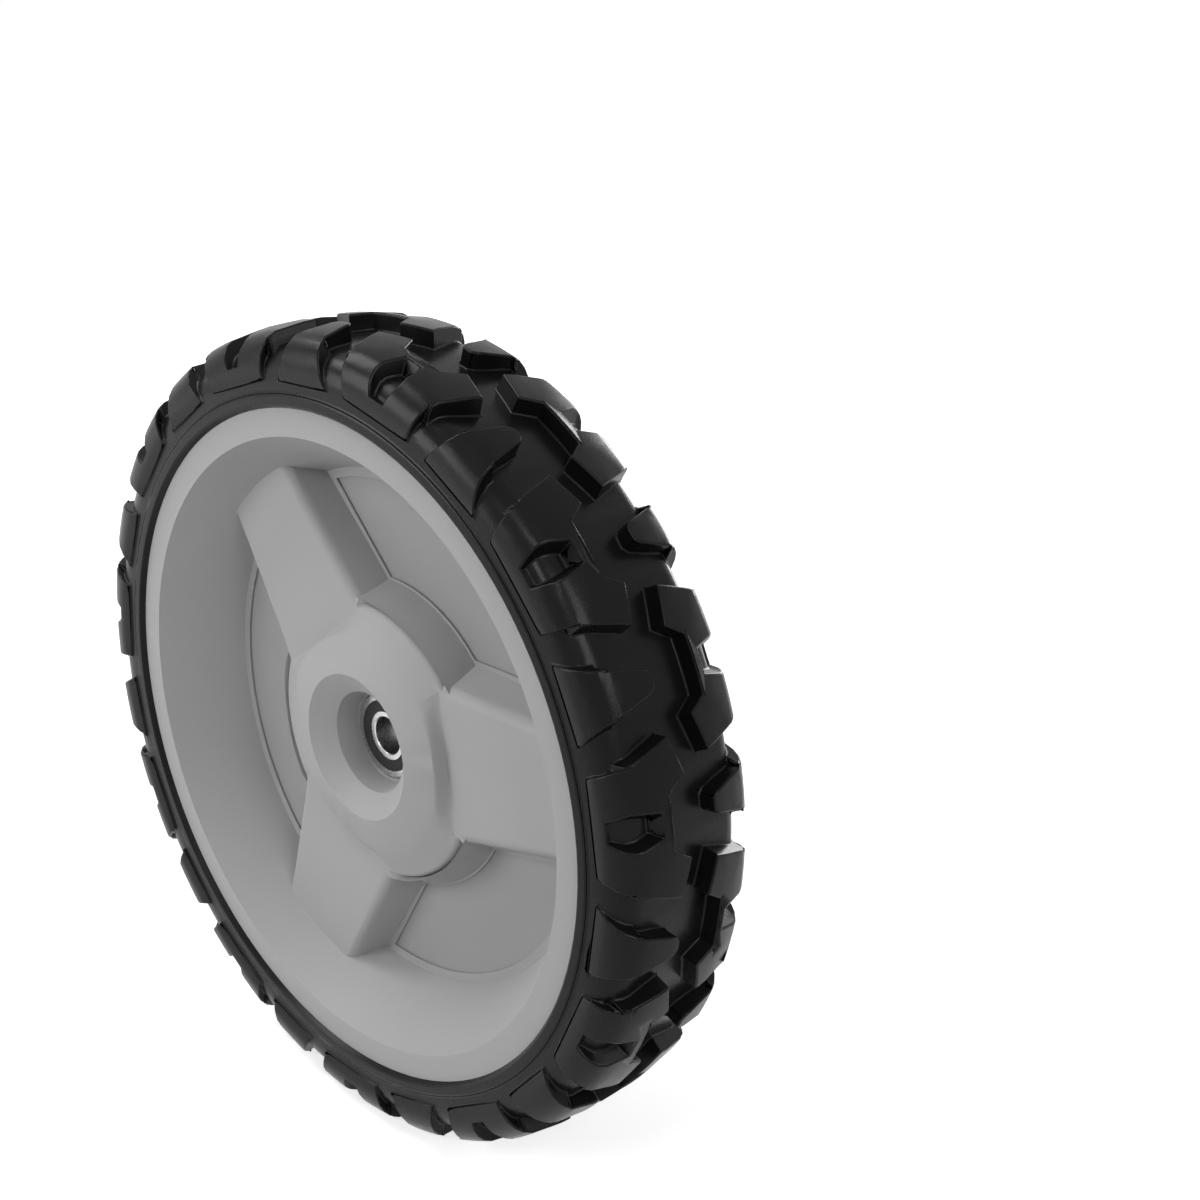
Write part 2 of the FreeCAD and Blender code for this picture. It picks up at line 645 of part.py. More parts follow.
def make_screws():
    """Pan-head screws through the back plate into the rim's bosses."""
    tip = "plate_front - screw_depth"
    length = "plate_thickness + screw_depth + screw_head_height / 2"
    screws = []
    for number in range(1, int(size("spokes")) + 1):
        angle = f"360 * {number} / spokes + spoke_turn"
        across = f"boss_reach * cos({angle})"
        up = f"boss_reach * sin({angle})"
        screw = doc.addObject("Part::Fuse", f"back_plate_screw_{number}")
        place = (across, up)
        screw.Base = cylinder(f"{screw.Name}_head", "screw_head_radius", "plate_back", "screw_head_height", *place)
        screw.Tool = cylinder(f"{screw.Name}_shank", "screw_radius", tip, length, *place)
        screws.append(screw)
    return screws


def make_bearing(label, start):
    """A sealed ball bearing: two rings with races, a ring of balls in a cage, and two seals."""
    end = f"{start} + bearing_width"
    middle = f"{start} + bearing_width / 2"
    outer = turned_body(f"{label}_outer_ring", [
        ("outer_ring_radius", start),
        ("bearing_radius - ring_bevel", start),
        ("bearing_radius", f"{start} + ring_bevel"),
        ("bearing_radius", f"{end} - ring_bevel"),
        ("bearing_radius - ring_bevel", end),
        ("outer_ring_radius", end),
    ])
    inner = turned_body(f"{label}_inner_ring", [
        ("bearing_bore", f"{start} + ring_bevel / 2"),
        ("bearing_bore + ring_bevel / 2", start),
        ("inner_ring_radius", start),
        ("inner_ring_radius", end),
        ("bearing_bore + ring_bevel / 2", end),
        ("bearing_bore", f"{end} - ring_bevel / 2"),
    ])
    for ring in (outer, inner):
        race = new_sketch(ring, f"{ring.Name}_race_section", "XY_Plane")
        add_circle(race, "ball_circle", middle, "ball_radius + race_clearance")
        turned(ring, race, f"{ring.Name}_race", cut=True)
    bore = "inner_ring_radius + seal_clearance"
    seal_starts = {
        "front_seal": f"{start} + seal_inset",
        "back_seal": f"{end} - seal_inset - seal_thickness",
    }
    seals = [tube(f"{label}_{name}", bore, "outer_ring_radius", depth, "seal_thickness")
             for name, depth in seal_starts.items()]
    return [outer, inner, make_cage(label, middle)] + make_balls(label, middle) + seals


def make_cage(label, middle):
    """A ring with a round pocket for each ball."""
    inside = "inner_ring_radius + cage_clearance"
    outside = "outer_ring_radius - cage_clearance"
    cage = turned_body(f"{label}_cage", [
        (inside, f"{middle} - cage_half_width"),
        (outside, f"{middle} - cage_half_width"),
        (outside, f"{middle} + cage_half_width"),
        (inside, f"{middle} + cage_half_width"),
    ])
    plan = new_sketch(cage, f"{label}_pocket_plan", "YZ_Plane")
    add_circle(plan, middle, "0", "ball_radius + pocket_clearance")
    pocket = sunk(cage, plan, f"{label}_pocket", "bearing_radius", reverse=True)
    repeated(cage, [pocket], f"{label}_pockets", "balls")
    return cage


def make_balls(label, middle):
    """The balls, evenly spaced."""
    balls = []
    for number in range(1, int(size("balls")) + 1):
        ball = doc.addObject("Part::Sphere", f"{label}_ball_{number}")
        bind(ball, "Radius", "ball_radius")
        bind(ball, "Placement.Base.x", f"ball_circle * cos(360 * {number} / balls)")
        bind(ball, "Placement.Base.y", middle)
        bind(ball, "Placement.Base.z", f"ball_circle * sin(360 * {number} / balls)")
        balls.append(ball)
    return balls


def make_spacer():
    """The tube that keeps the two inner rings apart."""
    start = "front_bearing + bearing_width"
    return tube("spacer_tube", "bearing_bore", "bearing_bore + spacer_wall", start, "bearing_gap")


def export(nodes):
    """Write each node's STEP file once every object is sound."""
    doc.recompute()
    for item in doc.Objects:
        if "Invalid" in item.State or "Error" in item.State:
            raise RuntimeError(f"{item.Name} did not build: {item.State}")
    os.makedirs("parts", exist_ok=True)
    for node in nodes:
        if node.Shape.isNull() or not node.Shape.isValid():
            raise RuntimeError(f"{node.Label} has no valid shape")
    for node in nodes:
        node.Shape.exportStep(f"parts/{node.Label}.step")


nodes = [make_tyre(), make_rim(), make_back_plate(), make_spacer()]
nodes += make_screws()
for label in ("front_bearing", "rear_bearing"):
    nodes += make_bearing(label, label)
export(nodes)
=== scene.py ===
"""Dressed model of a dished lawn mower wheel with a block-tread tyre, laid out as a Blender add-on."""

import math

import bmesh
import bpy
from bpy.props import FloatProperty, FloatVectorProperty, PointerProperty
from mathutils import Matrix, Vector


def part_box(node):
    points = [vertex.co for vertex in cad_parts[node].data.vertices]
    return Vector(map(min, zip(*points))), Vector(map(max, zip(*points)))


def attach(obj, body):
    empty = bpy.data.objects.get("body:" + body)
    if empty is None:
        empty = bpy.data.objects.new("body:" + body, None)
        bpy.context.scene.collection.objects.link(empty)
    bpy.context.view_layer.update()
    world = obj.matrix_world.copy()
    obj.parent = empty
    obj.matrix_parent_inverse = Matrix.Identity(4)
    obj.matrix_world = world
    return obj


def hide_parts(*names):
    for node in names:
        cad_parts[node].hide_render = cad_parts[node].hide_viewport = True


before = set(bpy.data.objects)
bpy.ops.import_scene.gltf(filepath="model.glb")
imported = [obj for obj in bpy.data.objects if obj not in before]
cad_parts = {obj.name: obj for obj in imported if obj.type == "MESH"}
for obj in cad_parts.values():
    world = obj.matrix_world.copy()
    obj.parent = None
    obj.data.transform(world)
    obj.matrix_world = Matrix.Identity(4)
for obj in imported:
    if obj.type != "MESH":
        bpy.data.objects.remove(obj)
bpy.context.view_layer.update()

bl_info = {
    "name": "Lawn mower wheel",
    "version": (1, 0, 0),
    "blender": (4, 5, 0),
    "location": "View3D > Sidebar > Wheel",
    "description": "Finishes a mower wheel's tyre, rim, back plate and bearings, and sets its stage",
    "category": "Object",
}

BEARINGS = ("front_bearing", "rear_bearing")
WHEEL_BODY = "wheel"
MERGE_DISTANCE = 1e-6
IMPORTED_NORMALS = "custom_normal"
FLOOR_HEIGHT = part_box("tyre")[0].z
FLOOR_HALF_WIDTH = 8.0
GLOW_START = 0.25
SENSOR_WIDTH = 36.0
NEAREST_SEEN = 0.01

# Edges that turn by more than these angles stay sharp, in degrees.
SHARP_DEGREES = 32
TYRE_SHARP_DEGREES = 26
RIM_SHARP_DEGREES = 28

# Finish: the middle part of a noise signal, the spread of gloss, the size of its patches, the strength
# of a mould's grain, and how much rougher the tube and the screws are than the rings.
NOISE_MIDDLE = (0.3, 0.7)
MOULDED_GLOSS_SPREAD = 0.05
STEEL_GLOSS_SPREAD = 0.06
STEEL_PATCH = 0.0004
GRAINS_PER_PATCH = 30
GRAIN_STRENGTH = 0.35
TUBE_ROUGHER = 0.2
SCREWS_ROUGHER = 0.1

# The rim's own form, in metres. A height is measured forward from the wheel's middle plane. The step is
# the angle between two rows of points on the hub's round.
SPOKE_ANGLES = [math.radians(9.6 + 120 * number) for number in range(3)]
HUB_ROUND = 0.0075
HUB_ROUND_CENTRE = (0.03904, 0.0055)
HUB_ROUND_TURN = math.radians(79.7)
HUB_STEP = math.tau / 88
HUB_INSIDE = 0.02
HUB_WALL_RADIUS = 0.0465
HUB_WALL_THICKNESS = 0.004
HUB_FOOT_RADIUS = 0.0485
SPOKE_SKIN = (0.00025, 0.00385)
SPOKE_END_RADIUS = 0.080
WINDOW_REACH = 0.1
CONE_SLOPE = 0.558
WALL_FOOT = -0.0029
CAVITY_FRONT = 0.008
CAVITY_CORNER = 0.0395
NEAR = 0.00006

# Faces are told apart by how far they look forward: 0 is a wall and 1 faces straight ahead.
LEAST_FORWARD = 0.05
HALF_FORWARD = 0.5

# Form that the rim and the plate are brought to where no setting gives it. The plate's depth is measured
# back from the wheel's middle plane.
BEVEL_SHARE = 0.6
CREASE_FADE = math.radians(10)
CREASE_STRIP = 0.0015
FULL_NARROWING = 0.02
CAVITY_CEILING = 0.005
CAVITY_EDGE_CEILING = 0.0034
PLATE_FRONT_DEPTH = 0.0047

# Name, place, width and power of each soft box. All of them are aimed at the wheel's centre.
SOFT_BOXES = (
    ("top_left_softbox", (-0.760, -0.317, 1.013), 0.6, 8.8),
    ("right_softbox", (1.020, -0.255, 0.765), 0.6, 7.3),
    ("front_left_softbox", (-0.757, -1.010, 0.316), 0.6, 8.4),
    ("front_softbox", (0.403, -0.936, 0.806), 0.18, 2.4),
    ("back_softbox", (-0.300, 1.200, 0.180), 0.5, 6.0),
)


class WheelRubber(bpy.types.PropertyGroup):
    """Finish of the tyre."""

    colour: FloatVectorProperty(
        name="Rubber", description="Colour of the moulded rubber", subtype="COLOR",
        size=3, min=0.0, max=1.0, default=(0.0055, 0.0055, 0.0055))
    roughness: FloatProperty(
        name="Roughness", description="Roughness of the block tops", min=0.0, max=1.0, default=0.27)
    shine: FloatProperty(
        name="Shine", description="Strength of the rubber's reflections", min=0.0, max=1.0, default=0.11)
    edge_round: FloatProperty(
        name="Edge round", description="Round on the tread's moulded edges", unit="LENGTH",
        min=0.0, default=0.0006)
    grain: FloatProperty(
        name="Grain", description="Distance between the grains of the mould's texture", unit="LENGTH",
        min=0.0001, default=0.0006)


class WheelPlastic(bpy.types.PropertyGroup):
    """Finish of the rim and the back plate; the plate's darker colour is painted shade."""

    colour: FloatVectorProperty(
        name="Plastic", description="Colour of the moulded plastic", subtype="COLOR",
        size=3, min=0.0, max=1.0, default=(0.33, 0.33, 0.33))
    # The back plate is the rim's plastic made darker: painted shade for the window panels, which sit deep
    # between the hub and the barrel.
    plate_painted_shade_colour: FloatVectorProperty(
        name="Plate", description="Colour of the back plate", subtype="COLOR",
        size=3, min=0.0, max=1.0, default=(0.295, 0.295, 0.295))
    roughness: FloatProperty(
        name="Roughness", description="Roughness of the satin surface", min=0.0, max=1.0, default=0.5)
    shine: FloatProperty(
        name="Shine", description="Strength of the plastic's reflections", min=0.0, max=1.0, default=0.2)
    grain: FloatProperty(
        name="Grain", description="Distance between the grains of the mould's texture", unit="LENGTH",
        min=0.0001, default=0.0009)


class WheelHub(bpy.types.PropertyGroup):
    """Form that the front of the rim is drawn out to."""

    spoke_lift: FloatProperty(
        name="Spoke lift", description="How far the tops of the spokes come forward", unit="LENGTH",
        min=0.0, default=0.0027)
    spoke_narrowing: FloatProperty(
        name="Spoke narrowing", description="How far each upper edge of a spoke moves in", unit="LENGTH",
        min=0.0, default=0.0025)
    foot_spread: FloatProperty(
        name="Foot spread", description="How far the foot of the window walls moves out", unit="LENGTH",
        min=0.0, default=0.0012)
    flange_front: FloatProperty(
        name="Flange front", description="Height of the front of the flange round the windows",
        unit="LENGTH", default=-0.0040)
    face_edge: FloatVectorProperty(
        name="Face edge", description="Radius and height of the edge of the hub's face", unit="LENGTH",
        size=2, default=(0.0340, 0.0104))
    shoulder: FloatVectorProperty(
        name="Shoulder", description="Radius and height at which the hub's edge begins to turn down",
        unit="LENGTH", size=2, default=(0.0422, 0.0066))
    brink: FloatVectorProperty(
        name="Brink", description="Radius and height at which the hub's wall begins", unit="LENGTH",
        size=2, default=(0.0445, 0.0034))
    crease: FloatVectorProperty(
        name="Crease", description="Distance along a spoke and height of the line where its top begins",
        unit="LENGTH", size=2, default=(0.0357, 0.0065))


class WheelSteel(bpy.types.PropertyGroup):
    """Finish of the bearings, the spacer and the screws."""

    ring_colour: FloatVectorProperty(
        name="Bearing steel", description="Colour of the ground bearing rings", subtype="COLOR",
        size=3, min=0.0, max=1.0, default=(0.52, 0.52, 0.53))
    # The spacer tube's near-black colour is painted shade for the deep bore behind the bearings.
    tube_painted_shade_colour: FloatVectorProperty(
        name="Tube", description="Colour of the spacer tube, darkened as painted shade", subtype="COLOR",
        size=3, min=0.0, max=1.0, default=(0.10, 0.10, 0.10))
    ring_roughness: FloatProperty(
        name="Ring roughness", description="Roughness of the ground rings", min=0.0, max=1.0, default=0.24)
    seal_radii: FloatVectorProperty(
        name="Seal radii", description="Inside and outside of a seal between the rings", unit="LENGTH",
        size=2, default=(0.0087, 0.0112))
    lip_radii: FloatVectorProperty(
        name="Lip radii", description="Inside and outside of a seal's lip over the rings", unit="LENGTH",
        size=2, default=(0.0078, 0.0115))
    lip_gap: FloatProperty(
        name="Lip gap", description="Gap between a ring's face and the lip", unit="LENGTH",
        min=0.0, default=0.00004)
    lip_thickness: FloatProperty(
        name="Lip thickness", description="Thickness of the lip", unit="LENGTH", min=0.0, default=0.00015)
    seal_colour: FloatVectorProperty(
        name="Seal", description="Colour of the bearing seals", subtype="COLOR",
        size=3, min=0.0, max=1.0, default=(0.012, 0.012, 0.012))


class WheelStage(bpy.types.PropertyGroup):
    """Camera, floor and lights."""

    eye: FloatVectorProperty(
        name="Eye", description="Place of the camera", subtype="XYZ", unit="LENGTH",
        size=3, default=(0.3585, -0.2882, 0.2309))
    azimuth: FloatProperty(
        name="Azimuth", description="Turn of the view round the wheel", subtype="ANGLE",
        default=math.radians(49.40))
    elevation: FloatProperty(
        name="Elevation", description="Height of the view above level", subtype="ANGLE",
        default=math.radians(26.37))
    roll: FloatProperty(
        name="Roll", description="Turn of the picture", subtype="ANGLE", default=math.radians(0.19))
    lens: FloatProperty(
        name="Lens", description="Focal length on a sensor 36 mm wide", subtype="DISTANCE_CAMERA",
        default=50.13)
    shift: FloatVectorProperty(
        name="Shift", description="Shift of the picture, in shares of its width", size=2,
        default=(0.1375, 0.1058))
    floor_colour: FloatVectorProperty(
        name="Floor", description="Colour of the floor", subtype="COLOR", size=3,
        min=0.0, max=1.0, default=(0.80, 0.80, 0.80))
    near_glow: FloatProperty(
        name="Near glow", description="Glow of the floor near the wheel, seen directly and in reflections",
        min=0.0, max=1.0, default=0.62)
    far_glow: FloatProperty(
        name="Far glow", description="Glow of the floor far from the wheel, seen directly and in reflections",
        min=0.0, max=1.0, default=0.98)
    glow_reach: FloatProperty(
        name="Glow reach", description="Distance at which the floor has its far glow", unit="LENGTH",
        min=0.0, default=1.1)
    sky: FloatProperty(
        name="Sky", description="Strength of the even light from all round", min=0.0, default=0.03)


def new_material(name):
    """A node material, with its tree and its surface shader."""
    material = bpy.data.materials.new(name)
    material.use_nodes = True
    tree = material.node_tree
    return material, tree, tree.nodes["Principled BSDF"]


def add_node(tree, kind, **inputs):
    """A node with some of its sockets set by name."""
    node = tree.nodes.new(kind)
    for socket, value in inputs.items():
        node.inputs[socket.replace("_", " ")].default_value = value
    return node


def sees_backdrop(tree):
    """1 for the rays that show the backdrop: the camera's, reflections and what is seen through glass."""
    path = tree.nodes.new("ShaderNodeLightPath")
    total = path.outputs["Is Camera Ray"]
    for kind in ("Is Glossy Ray", "Is Transmission Ray"):
        joined = tree.nodes.new("ShaderNodeMath")
        joined.operation = "MAXIMUM"
        tree.links.new(total, joined.inputs[0])
        tree.links.new(path.outputs[kind], joined.inputs[1])
        total = joined.outputs["Value"]
    return total


def object_noise(tree, size, detail):
    """Noise whose grains are a given distance apart on the object."""
    place = tree.nodes.new("ShaderNodeTexCoord")
    noise = add_node(tree, "ShaderNodeTexNoise", Scale=1.0 / size, Detail=detail, Roughness=0.55)
    tree.links.new(place.outputs["Object"], noise.inputs["Vector"])
    return noise


def spread(tree, source, low, high):
    """Map the middle part of a noise signal onto a range."""
    darkest, lightest = NOISE_MIDDLE
    span = add_node(tree, "ShaderNodeMapRange",
                    From_Min=darkest, From_Max=lightest, To_Min=low, To_Max=high)
    tree.links.new(source, span.inputs["Value"])
    return span.outputs["Result"]


def tint(tree, colour, amount):
    """A colour that a 0 to 1 signal makes darker and lighter by an amount."""
    mix = tree.nodes.new("ShaderNodeMix")
    mix.data_type = "RGBA"
    mix.inputs["A"].default_value = (*[channel * (1 - amount) for channel in colour], 1)
    mix.inputs["B"].default_value = (*[min(1, channel * (1 + amount)) for channel in colour], 1)
    return mix


def add_bump(tree, shader, height, distance, strength):
    """Feed a height signal to the shader's normal."""
    bump = add_node(tree, "ShaderNodeBump", Strength=strength, Distance=distance)
    tree.links.new(height, bump.inputs["Height"])
    tree.links.new(bump.outputs["Normal"], shader.inputs["Normal"])


def moulded_material(name, colour, roughness, shine, grain, mottle, bump_depth):
    """A moulded surface: faint mottling of its colour and gloss over a fine mould grain."""
    material, tree, shader = new_material(name)
    shader.inputs["Specular IOR Level"].default_value = shine
    patches = object_noise(tree, GRAINS_PER_PATCH * grain, detail=4.0)
    mix = tint(tree, colour, mottle)
    tree.links.new(patches.outputs["Fac"], mix.inputs["Factor"])
    tree.links.new(mix.outputs["Result"], shader.inputs["Base Color"])
    fine = object_noise(tree, grain, detail=2.0)
    gloss = spread(tree, patches.outputs["Fac"],
                   roughness - MOULDED_GLOSS_SPREAD, roughness + MOULDED_GLOSS_SPREAD)
    tree.links.new(gloss, shader.inputs["Roughness"])
    add_bump(tree, shader, fine.outputs["Fac"], bump_depth, GRAIN_STRENGTH)
    return material


def steel_material(name, colour, roughness):
    """Turned or ground steel with faint patches of more and less gloss."""
    material, tree, shader = new_material(name)
    shader.inputs["Metallic"].default_value = 1.0
    shader.inputs["Base Color"].default_value = (*colour, 1)
    marks = object_noise(tree, STEEL_PATCH, detail=2.0)
    gloss = spread(tree, marks.outputs["Fac"],
                   roughness - STEEL_GLOSS_SPREAD, roughness + STEEL_GLOSS_SPREAD)
    tree.links.new(gloss, shader.inputs["Roughness"])
    return material


def eased(value, low, high):
    """0 below a range and 1 above it, with a smooth rise between."""
    share = min(1.0, max(0.0, (value - low) / (high - low)))
    return share * share * (3 - 2 * share)


def between(start, end, share):
    """The value at a share of the way from one value to another."""
    return start + (end - start) * share


def hub_point(hub, share, turn):
    """Distance along a spoke, distance across it and height on the hub's edge.

    The share says how far out on the edge the point is, and the turn how far round from the spoke.
    """
    face_radius, face_height = hub.face_edge
    corner = math.acos(hub.crease[0] / hub.shoulder[0])
    # The row of points nearest to a spoke's corner moves onto it, so that the corner is clean.
    if abs(abs(turn) - corner) < HUB_STEP / 2:
        turn = math.copysign(corner, turn)
    on_spoke = abs(turn) <= corner
    bevel_radius = hub.crease[0] / math.cos(turn) if on_spoke else hub.shoulder[0]
    bevel_height = hub.crease[1] if on_spoke else hub.shoulder[1]
    down_bevel = min(1.0, share / BEVEL_SHARE)
    past_bevel = max(0.0, (share - BEVEL_SHARE) / (1 - BEVEL_SHARE))
    straightness = eased(abs(turn), corner - CREASE_FADE, corner)
    radius = between(face_radius, bevel_radius, down_bevel)
    height = between(face_height, bevel_height, between(eased(down_bevel, 0, 1), down_bevel, straightness))
    if not on_spoke:
        swing = past_bevel * math.pi / 2
        radius += (hub.brink[0] - hub.shoulder[0]) * math.sin(swing)
        height -= (hub.shoulder[1] - hub.brink[1]) * (1 - math.cos(swing))
    along = radius * math.cos(turn)
    if on_spoke:
        along += CREASE_STRIP * past_bevel
    return along, radius * math.sin(turn), height


def draw_out_front(shape, hub):
    """Bring the spokes forward, narrow their tops and give the hub its flat, bevelled edge."""
    shape.normal_update()
    moves = {}
    for vertex in shape.verts:
        x, height, z = vertex.co.x, -vertex.co.y, vertex.co.z
        radius = math.hypot(x, z)
        if radius < HUB_INSIDE:
            continue
        slopes = [-face.normal.y for face in vertex.link_faces]
        angle = math.atan2(z, x)
        axis = min(SPOKE_ANGLES, key=lambda spoke: -math.cos(angle - spoke))
        turn = math.remainder(angle - axis, math.tau)
        along = radius * math.cos(angle - axis)
        across = radius * math.sin(angle - axis)
        in_round = math.hypot(radius - HUB_ROUND_CENTRE[0], height - HUB_ROUND_CENTRE[1])
        in_cavity = max(slopes) < HALF_FORWARD and radius < HUB_WALL_RADIUS - HUB_WALL_THICKNESS
        if abs(height - CAVITY_FRONT) < NEAR and in_cavity:
            height = CAVITY_EDGE_CEILING if radius > CAVITY_CORNER else CAVITY_CEILING
        elif max(slopes) < LEAST_FORWARD:
            continue
        elif abs(in_round - HUB_ROUND) < NEAR and height > HUB_ROUND_CENTRE[1]:
            lean = math.atan2(radius - HUB_ROUND_CENTRE[0], height - HUB_ROUND_CENTRE[1])
            along, across, height = hub_point(hub, min(1.0, max(0.0, lean / HUB_ROUND_TURN)), turn)
        elif SPOKE_SKIN[0] < height < SPOKE_SKIN[1] and HUB_WALL_RADIUS < radius < WINDOW_REACH:
            height += hub.spoke_lift
            narrowing = hub.spoke_narrowing * min(1.0, abs(across) / FULL_NARROWING)
            across -= math.copysign(narrowing, across)
            if radius > SPOKE_END_RADIUS:
                reach = radius + hub.spoke_lift * CONE_SLOPE
                along = math.sqrt(reach * reach - across * across)
        elif abs(height - WALL_FOOT) < NEAR and radius < WINDOW_REACH:
            height = hub.flange_front
            on_wall = any(LEAST_FORWARD < slope < HALF_FORWARD for slope in slopes)
            if on_wall and radius < HUB_FOOT_RADIUS:
                along *= 1 + hub.foot_spread / radius
                across *= 1 + hub.foot_spread / radius
            elif on_wall and radius < SPOKE_END_RADIUS:
                across += math.copysign(hub.foot_spread, across)
        else:
            continue
        moves[vertex] = Vector((
            along * math.cos(axis) - across * math.sin(axis),
            -height,
            along * math.sin(axis) + across * math.cos(axis),
        ))
    for vertex, place in moves.items():
        vertex.co = place


def thicken_plate(shape):
    """Bring the front of the back plate up to the flange round the windows."""
    front = min(vertex.co.y for vertex in shape.verts)
    for vertex in shape.verts:
        if vertex.co.y - front < NEAR:
            vertex.co.y = PLATE_FRONT_DEPTH


def merged_copy(node, name, reshape=None):
    """A new object with a node's form, its loose triangles joined."""
    shape = bmesh.new()
    shape.from_mesh(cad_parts[node].data)
    bmesh.ops.remove_doubles(shape, verts=shape.verts, dist=MERGE_DISTANCE)
    if reshape:
        reshape(shape)
    mesh = bpy.data.meshes.new(name)
    shape.to_mesh(mesh)
    shape.free()
    mesh.materials.clear()
    if IMPORTED_NORMALS in mesh.attributes:
        mesh.attributes.remove(mesh.attributes[IMPORTED_NORMALS])
    piece = bpy.data.objects.new(name, mesh)
    bpy.context.scene.collection.objects.link(piece)
    return piece


def smooth_by_angle(piece, degrees):
    """Shade smooth across faces that meet at less than an angle."""
    for polygon in piece.data.polygons:
        polygon.use_smooth = True
    piece.data.set_sharp_from_angle(angle=math.radians(degrees))


def turned_piece(name, section):
    """A new object turned about the axle from a closed section of radii and depths."""
    shape = bmesh.new()
    corners = [shape.verts.new((radius, depth, 0)) for radius, depth in section]
    edges = [shape.edges.new(pair) for pair in zip(corners, corners[1:] + corners[:1])]
    bmesh.ops.spin(shape, geom=corners + edges, cent=(0, 0, 0), axis=(0, 1, 0),
                   angle=math.tau, steps=96, use_merge=True)
    bmesh.ops.remove_doubles(shape, verts=shape.verts, dist=MERGE_DISTANCE)
    bmesh.ops.recalc_face_normals(shape, faces=shape.faces)
    mesh = bpy.data.meshes.new(name)
    shape.to_mesh(mesh)
    shape.free()
    piece = bpy.data.objects.new(name, mesh)
    bpy.context.scene.collection.objects.link(piece)
    smooth_by_angle(piece, SHARP_DEGREES)
    return piece


def stand_for(piece, node, body, material):
    """Let a piece take a node's place in the wheel, with its finish."""
    piece.data.materials.append(material)
    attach(piece, body)
    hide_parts(node)


def paint(node, material):
    """Give a CAD node its finish."""
    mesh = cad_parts[node].data
    mesh.materials.clear()
    mesh.materials.append(material)


def soften_edges(piece, width):
    """Round a piece's sharp moulded edges."""
    bevel = piece.modifiers.new("moulded_edges", "BEVEL")
    bevel.width = width
    bevel.segments = 2
    bevel.limit_method = "ANGLE"
    bevel.angle_limit = math.radians(SHARP_DEGREES)
    bevel.use_clamp_overlap = False
    bevel.harden_normals = True


class WHEEL_OT_tyre(bpy.types.Operator):
    """Finish the tyre"""

    bl_idname = "wheel.tyre"
    bl_label = "Tyre"

    def execute(self, context):
        rubber = context.scene.wheel_rubber
        tyre = merged_copy("tyre", "block_tread_tyre")
        soften_edges(tyre, rubber.edge_round)
        smooth_by_angle(tyre, TYRE_SHARP_DEGREES)
        material = moulded_material(
            "black_rubber", rubber.colour, rubber.roughness, rubber.shine, rubber.grain,
            mottle=0.12, bump_depth=0.0001)
        stand_for(tyre, "tyre", WHEEL_BODY, material)
        return {"FINISHED"}


class WHEEL_OT_rim(bpy.types.Operator):
    """Finish the rim and the back plate"""

    bl_idname = "wheel.rim"
    bl_label = "Rim and back plate"

    def execute(self, context):
        plastic = context.scene.wheel_plastic
        hub = context.scene.wheel_hub
        for node, name, colour, reshape in (
                ("rim", "spoked_rim", plastic.colour, lambda shape: draw_out_front(shape, hub)),
                # The plate's darker colour is painted shade in the windows.
                ("back_plate", "window_plate", plastic.plate_painted_shade_colour, thicken_plate)):
            material = moulded_material(
                f"{name}_plastic", colour, plastic.roughness, plastic.shine, plastic.grain,
                mottle=0.03, bump_depth=0.00005)
            piece = merged_copy(node, name, reshape)
            smooth_by_angle(piece, RIM_SHARP_DEGREES)
            stand_for(piece, node, WHEEL_BODY, material)
        return {"FINISHED"}


class WHEEL_OT_bearings(bpy.types.Operator):
    """Finish the two ball bearings and the spacer"""

    bl_idname = "wheel.bearings"
    bl_label = "Bearings"

    def execute(self, context):
        steel = context.scene.wheel_steel
        ring = steel_material("ground_steel", steel.ring_colour, steel.ring_roughness)
        seal = moulded_material(
            "seal_rubber", steel.seal_colour, roughness=0.5, shine=0.2, grain=0.0004,
            mottle=0.1, bump_depth=0.00003)
        # The tube's dark colour is painted shade in the bore.
        tube = steel_material("bore_shade_steel", steel.tube_painted_shade_colour, steel.ring_roughness + TUBE_ROUGHER)
        for node, ring_node, outward in (
                ("front_bearing_front_seal", "front_bearing_outer_ring", -1),
                ("rear_bearing_back_seal", "rear_bearing_outer_ring", 1)):
            piece = self.add_seal(steel, node, ring_node, outward)
            stand_for(piece, node, WHEEL_BODY, seal)
        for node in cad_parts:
            if "_seal" in node:
                paint(node, seal)
            elif node == "spacer_tube":
                paint(node, tube)
            elif node.startswith(BEARINGS):
                paint(node, ring)
        return {"FINISHED"}

    def add_seal(self, steel, node, ring_node, outward):
        """A seal whose lip laps over the faces of the two rings."""
        low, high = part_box(node)
        ring_low, ring_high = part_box(ring_node)
        inside, ring_face = (high.y, ring_low.y) if outward < 0 else (low.y, ring_high.y)
        under = ring_face + outward * steel.lip_gap
        over = under + outward * steel.lip_thickness
        inner, outer = steel.seal_radii
        lip_inner, lip_outer = steel.lip_radii
        section = [
            (inner, inside), (outer, inside), (outer, under), (lip_outer, under),
            (lip_outer, over), (lip_inner, over), (lip_inner, under), (inner, under),
        ]
        return turned_piece(f"lipped_{node}", section)


class WHEEL_OT_screws(bpy.types.Operator):
    """Finish the back plate's screws"""

    bl_idname = "wheel.screws"
    bl_label = "Screws"

    def execute(self, context):
        steel = context.scene.wheel_steel
        material = steel_material(
            "plated_steel", steel.ring_colour, steel.ring_roughness + SCREWS_ROUGHER)
        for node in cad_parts:
            if node.startswith("back_plate_screw"):
                paint(node, material)
        return {"FINISHED"}


def add_soft_box(name, place, width, power):
    """A square lamp aimed at the wheel's centre."""
    data = bpy.data.lights.new(name, "AREA")
    data.shape = "SQUARE"
    data.size = width
    data.energy = power
    lamp = bpy.data.objects.new(name, data)
    lamp.location = place
    lamp.rotation_euler = (-Vector(place)).to_track_quat("-Z", "Y").to_euler()
    bpy.context.scene.collection.objects.link(lamp)


